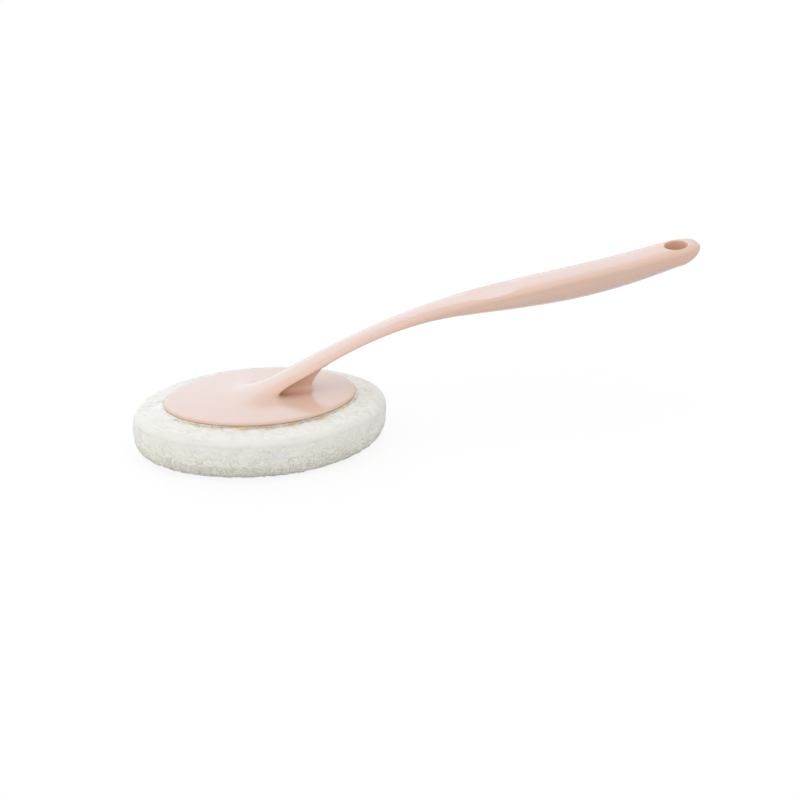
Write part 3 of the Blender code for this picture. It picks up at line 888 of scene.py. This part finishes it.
def web_rings(levels):
    """(levels, around, 3) plan sections of the web, each a rounded rectangle.

    The front follows the middle of the neck, and the rear an arc and then the straight line
    that touches it and runs out on the neck. Each plan goes back along one side, round the
    rear edge, and forward along the other side. Three of its points are left out: the first
    of each corner, and one on the far side.
    """
    middle_x = np.linspace(-0.02, WEB_END_X, 400)
    middle_z = neck_underside(middle_x) + NECK_THICK / 2
    front = np.interp(levels, middle_z, middle_x)
    centre = np.array((WEB_HEEL_X + WEB_ARC, PLATE_TOP + WEB_EDGE))
    end = np.array((WEB_END_X, float(neck_underside(np.array([WEB_END_X]))[0])))
    away = end - centre
    leave = math.atan2(away[1], away[0]) + math.acos(WEB_ARC / math.hypot(*away))
    leave_at = centre + WEB_ARC * np.array((math.cos(leave), math.sin(leave)))
    rise = np.clip(levels - centre[1], 0, leave_at[1] - centre[1])
    on_arc = centre[0] - np.sqrt(WEB_ARC**2 - rise**2)
    on_line = np.clip((levels - leave_at[1]) / (end[1] - leave_at[1]), 0, 1)
    rear = np.where(levels < leave_at[1], on_arc, leave_at[0] + on_line * (end[0] - leave_at[0]))
    rear = rear + fillet_spread(levels - PLATE_TOP, WEB_HEEL_FILLET)
    length = np.maximum(rear - front, 0.0004)
    corner = np.minimum(WEB_EDGE, length / 3)
    arc = np.radians(np.linspace(0, 90, WEB_ROUND))
    run = np.linspace(0, 1, WEB_RUN)
    face = np.linspace(1, -1, WEB_REAR + 2)[1:-1]
    side, turning = np.ones(WEB_RUN), np.ones(WEB_ROUND)
    rear_on, rear_off = np.ones(WEB_REAR), np.zeros(WEB_REAR)
    along = np.concatenate((run, turning, rear_on, turning, run[::-1], rear_off))
    aside = np.concatenate((side, turning, face, -turning, -side, -face))
    round_x = np.concatenate((0 * side, np.sin(arc), rear_on, np.cos(arc), 0 * side, rear_off))
    round_y = np.concatenate((side, np.cos(arc), rear_off, -np.sin(arc), -side, rear_off))
    x = front[:, None] + (length - corner)[:, None] * along + corner[:, None] * round_x
    z = np.broadcast_to(levels[:, None], x.shape)
    under = neck_underside(x.ravel()).reshape(x.shape)
    spread = fillet_spread(z - plate_height(x, 0), WEB_FILLET) + fillet_spread(under - z, WEB_FILLET)
    half = WEB_THICK / 2 + np.minimum(spread, 1.3 * WEB_FILLET)
    y = (half - corner[:, None]) * aside + corner[:, None] * round_y
    left_out = WEB_RUN + (WEB_ROUND + WEB_REAR) * np.arange(3)
    return np.delete(np.stack((x, y, z), -1), left_out, axis=1)


web_top = float(neck_underside(np.array([WEB_END_X]))[0]) + NECK_THICK / 2 - 0.0002
web_levels = np.concatenate((
    [SEAT + 0.0004],
    np.linspace(PLATE_TOP - 0.0003, PLATE_TOP + 0.003, 20),
    np.linspace(PLATE_TOP + 0.003, web_top, 60)[1:],
))
web_grid = web_rings(web_levels)
web = make_piece("gusset_web", web_grid, *skin_faces(*web_grid.shape[:2]))


# Hanging hole: a straight bore that a pin of the mould leaves through the end of the grip. Its
# rim is softly rounded above and below, and follows the curved faces that it comes out of.

HOLE_X = NOSE_X + 0.0010
HOLE_RADIUS = 0.0063
HOLE_RIM = 0.0007


def face_height(x, y, upper_face):
    """Height of the bar's top or belly over a point, from its superellipse section."""
    top, thick, width, square, crown = (value.reshape(x.shape) for value in bar_sizes(x.ravel()))
    waist = np.minimum(GRIP_WAIST, (thick - crown) / 2)
    power = square if upper_face else BELLY_SQUARE
    side = np.abs(2 * y / width)
    rise = np.clip(1 - side**power, 0, 1) ** (1 / power)
    if upper_face:
        return top + waist * (rise - 1) - crown * side**3
    return top - waist - crown - (thick - waist - crown) * rise


def hole_cutter():
    """Rings of the cut: straight in the bore, then a quarter round out to each face.

    At a turn t the ring has the bore's radius plus rim (1 - cos t), and lies rim (1 - sin t)
    inside the face at that radius.
    """
    angle = np.linspace(0, 2 * math.pi, 96, endpoint=False)
    rings = []
    for upper_face, sign, order in ((False, 1, -1), (True, -1, 1)):
        group = []
        for t in np.radians(np.linspace(0, 78, 9)):
            radius = HOLE_RADIUS + HOLE_RIM * (1 - math.cos(t))
            x, y = HOLE_X + radius * np.cos(angle), radius * np.sin(angle)
            z = face_height(x, y, upper_face) + sign * HOLE_RIM * (1 - math.sin(t))
            group.append(np.stack((x, y, z), -1))
        past = group[-1].copy()
        past[:, 2] = past[:, 2].mean() - sign * 0.006
        group.append(past)
        rings += group[::order]
    return np.array(rings)


hole_grid = hole_cutter()
hole = make_piece("hanging_hole", hole_grid, *skin_faces(*hole_grid.shape[:2]))

for tool, operation in ((web, "UNION"), (hole, "DIFFERENCE")):
    step = handle.modifiers.new(tool.name, "BOOLEAN")
    step.object = tool
    step.operation = operation
    step.solver = "EXACT"
evaluated = handle.evaluated_get(bpy.context.evaluated_depsgraph_get())
moulding = bpy.data.meshes.new_from_object(evaluated)
handle.modifiers.clear()
handle.data = moulding
for tool in (web, hole):
    bpy.data.objects.remove(tool, do_unlink=True)
moulding.shade_smooth()
moulding.set_sharp_from_angle(angle=math.radians(32))


def moulded_plastic():
    """Satin polypropylene: an even pink with a faint cloud of tone, and a very fine grain.

    Painted shade: in hollows an ambient occlusion node deepens and warms the pink, for light bounced from
    wall to wall.
    """
    made = bpy.data.materials.new("pink_plastic")
    made.use_nodes = True
    nodes, links = made.node_tree.nodes, made.node_tree.links
    shader = nodes["Principled BSDF"]
    shader.inputs["IOR"].default_value = 1.52
    shader.inputs["Subsurface Weight"].default_value = 0.25
    shader.inputs["Subsurface Radius"].default_value = (1.0, 0.5, 0.35)
    shader.inputs["Subsurface Scale"].default_value = 0.004
    cloud = place_mottle(
        made, scale=28.0, low=0.3, high=0.7, deep=(0.750, 0.531, 0.426, 1), pale=(0.760, 0.542, 0.439, 1)
    )
    # Painted shade: where ambient occlusion is low, the base colour is mixed towards a deeper, warmer pink.
    hollow = nodes.new("ShaderNodeAmbientOcclusion")
    hollow.samples = 8
    hollow.inputs["Distance"].default_value = 0.02
    depth = nodes.new("ShaderNodeMapRange")
    depth.inputs["From Min"].default_value = 0.6
    depth.inputs["From Max"].default_value = 0.25
    links.new(hollow.outputs["AO"], depth.inputs["Value"])
    painted_hollow_shade = nodes.new("ShaderNodeMix")
    painted_hollow_shade.data_type = "RGBA"
    painted_hollow_shade.inputs["B"].default_value = (0.66, 0.37, 0.22, 1)
    links.new(depth.outputs["Result"], painted_hollow_shade.inputs["Factor"])
    links.new(cloud.outputs["Colour"], painted_hollow_shade.inputs["A"])
    links.new(painted_hollow_shade.outputs["Result"], shader.inputs["Base Color"])
    grain = place_mottle(made, scale=2600.0)
    satin = nodes.new("ShaderNodeMapRange")
    satin.inputs["To Min"].default_value = 0.13
    satin.inputs["To Max"].default_value = 0.20
    links.new(grain.outputs["Noise"], satin.inputs["Value"])
    links.new(satin.outputs["Result"], shader.inputs["Roughness"])
    bump = nodes.new("ShaderNodeBump")
    bump.inputs["Strength"].default_value = 0.03
    bump.inputs["Distance"].default_value = 0.00003
    links.new(grain.outputs["Noise"], bump.inputs["Height"])
    links.new(bump.outputs["Normal"], shader.inputs["Normal"])
    return made


moulding.materials.clear()
moulding.materials.append(moulded_plastic())
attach(handle, "handle")
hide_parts("handle")


# Studio: a white floor that keeps the brush's soft shadow, an even white surround with a pale
# glow on the left and a cool one behind, and one broad soft lamp above and behind. The camera
# stands at the photograph's angle.

FLOOR_HALF = 3.0
PAPER_GREY = 0.64
PAPER_WHITE = 0.97
PAPER_GLOW = 0.85
floor_mesh = bpy.data.meshes.new("studio_floor")
corners = np.array(((-1, -1, 0), (1, -1, 0), (1, 1, 0), (-1, 1, 0))) * FLOOR_HALF
floor_mesh.from_pydata(corners.tolist(), [], [(0, 1, 2, 3)])
floor = bpy.data.objects.new("studio_floor", floor_mesh)
bpy.context.scene.collection.objects.link(floor)
paper = bpy.data.materials.new("studio_paper")
paper.use_nodes = True
nodes, links = paper.node_tree.nodes, paper.node_tree.links
paper_shader = nodes["Principled BSDF"]
bright = nodes.new("ShaderNodeMix")
bright.data_type = "RGBA"
bright.inputs["A"].default_value = (PAPER_GREY, PAPER_GREY, PAPER_GREY, 1)
bright.inputs["B"].default_value = (PAPER_WHITE, PAPER_WHITE, PAPER_WHITE, 1)
links.new(bright.outputs["Result"], paper_shader.inputs["Base Color"])
paper_shader.inputs["Roughness"].default_value = 1.0
paper_shader.inputs["Specular IOR Level"].default_value = 0.0
paper_white = nodes.new("ShaderNodeEmission")
paper_white.inputs["Strength"].default_value = 1.0
seen = nodes.new("ShaderNodeLightPath")
lighten = nodes.new("ShaderNodeMath")
lighten.operation = "MULTIPLY"
lighten.inputs[1].default_value = PAPER_GLOW
direct = nodes.new("ShaderNodeMath")
direct.operation = "MAXIMUM"
links.new(seen.outputs["Is Camera Ray"], direct.inputs[0])
links.new(seen.outputs["Is Glossy Ray"], direct.inputs[1])
links.new(direct.outputs[0], lighten.inputs[0])
links.new(direct.outputs[0], bright.inputs["Factor"])
paper_mix = nodes.new("ShaderNodeMixShader")
links.new(lighten.outputs[0], paper_mix.inputs[0])
links.new(paper_shader.outputs[0], paper_mix.inputs[1])
links.new(paper_white.outputs[0], paper_mix.inputs[2])
links.new(paper_mix.outputs[0], nodes["Material Output"].inputs["Surface"])
floor_mesh.materials.append(paper)

world = bpy.data.worlds.new("studio")
bpy.context.scene.world = world
world.use_nodes = True
nodes, links = world.node_tree.nodes, world.node_tree.links
sky = nodes["Background"]
sky_place = nodes.new("ShaderNodeTexCoord")
SURROUND = 0.94

# Glows of the surround: the way to their middle, their half angle in degrees, their light
GLOWS = (
    ((-0.92, -0.38, -0.05), 50, (0.70, 0.70, 0.70)),
    ((0.03, 0.93, 0.37), 27, (0.60, 1.15, 1.60)),
)
light = nodes.new("ShaderNodeVectorMath")
light.inputs[0].default_value = (SURROUND, SURROUND, SURROUND)
for aim, half_angle, tint in GLOWS:
    facing = nodes.new("ShaderNodeVectorMath")
    facing.operation = "DOT_PRODUCT"
    facing.inputs[1].default_value = aim
    links.new(sky_place.outputs["Generated"], facing.inputs[0])
    glow = nodes.new("ShaderNodeMapRange")
    glow.interpolation_type = "SMOOTHSTEP"
    glow.inputs["From Min"].default_value = math.cos(math.radians(half_angle))
    glow.inputs["From Max"].default_value = 1.0
    links.new(facing.outputs["Value"], glow.inputs["Value"])
    tinted = nodes.new("ShaderNodeVectorMath")
    tinted.operation = "SCALE"
    tinted.inputs[0].default_value = tint
    links.new(glow.outputs["Result"], tinted.inputs["Scale"])
    brighter = nodes.new("ShaderNodeVectorMath")
    links.new(light.outputs[0], brighter.inputs[0])
    links.new(tinted.outputs[0], brighter.inputs[1])
    light = brighter
seen = nodes.new("ShaderNodeLightPath")
shown = nodes.new("ShaderNodeMix")
shown.data_type = "RGBA"
shown.inputs["B"].default_value = (1, 1, 1, 1)
links.new(seen.outputs["Is Camera Ray"], shown.inputs["Factor"])
links.new(light.outputs[0], shown.inputs["A"])
links.new(shown.outputs["Result"], sky.inputs["Color"])


def soft_lamp(name, place, aim, size, power):
    """A square area lamp that looks at a point."""
    data = bpy.data.lights.new(name, "AREA")
    data.shape = "SQUARE"
    data.size = size
    data.energy = power
    lamp = bpy.data.objects.new(name, data)
    lamp.location = place
    lamp.rotation_euler = (Vector(aim) - Vector(place)).to_track_quat("-Z", "Y").to_euler()
    bpy.context.scene.collection.objects.link(lamp)


soft_lamp("key_lamp", (-0.3, 0.6, 1.5), (0.06, 0, 0.03), 1.1, 1.5)

AIM = Vector((0.05688, -0.05665, 0.04))
DISTANCE = 1.5
AZIMUTH = math.radians(-20.98)
ELEVATION = math.radians(23.744)
ROLL = math.radians(1.037)
back = Vector((
    math.sin(AZIMUTH) * math.cos(ELEVATION),
    -math.cos(AZIMUTH) * math.cos(ELEVATION),
    math.sin(ELEVATION),
))
camera_data = bpy.data.cameras.new("camera")
camera_data.lens = 131.26
camera_data.sensor_width = 36
camera = bpy.data.objects.new("camera", camera_data)
camera.location = AIM + DISTANCE * back
camera.rotation_mode = "QUATERNION"
camera.rotation_quaternion = back.to_track_quat("Z", "Y") @ Quaternion((0, 0, 1), ROLL)
bpy.context.scene.collection.objects.link(camera)
bpy.context.scene.camera = camera
bpy.context.scene.view_settings.view_transform = "Standard"
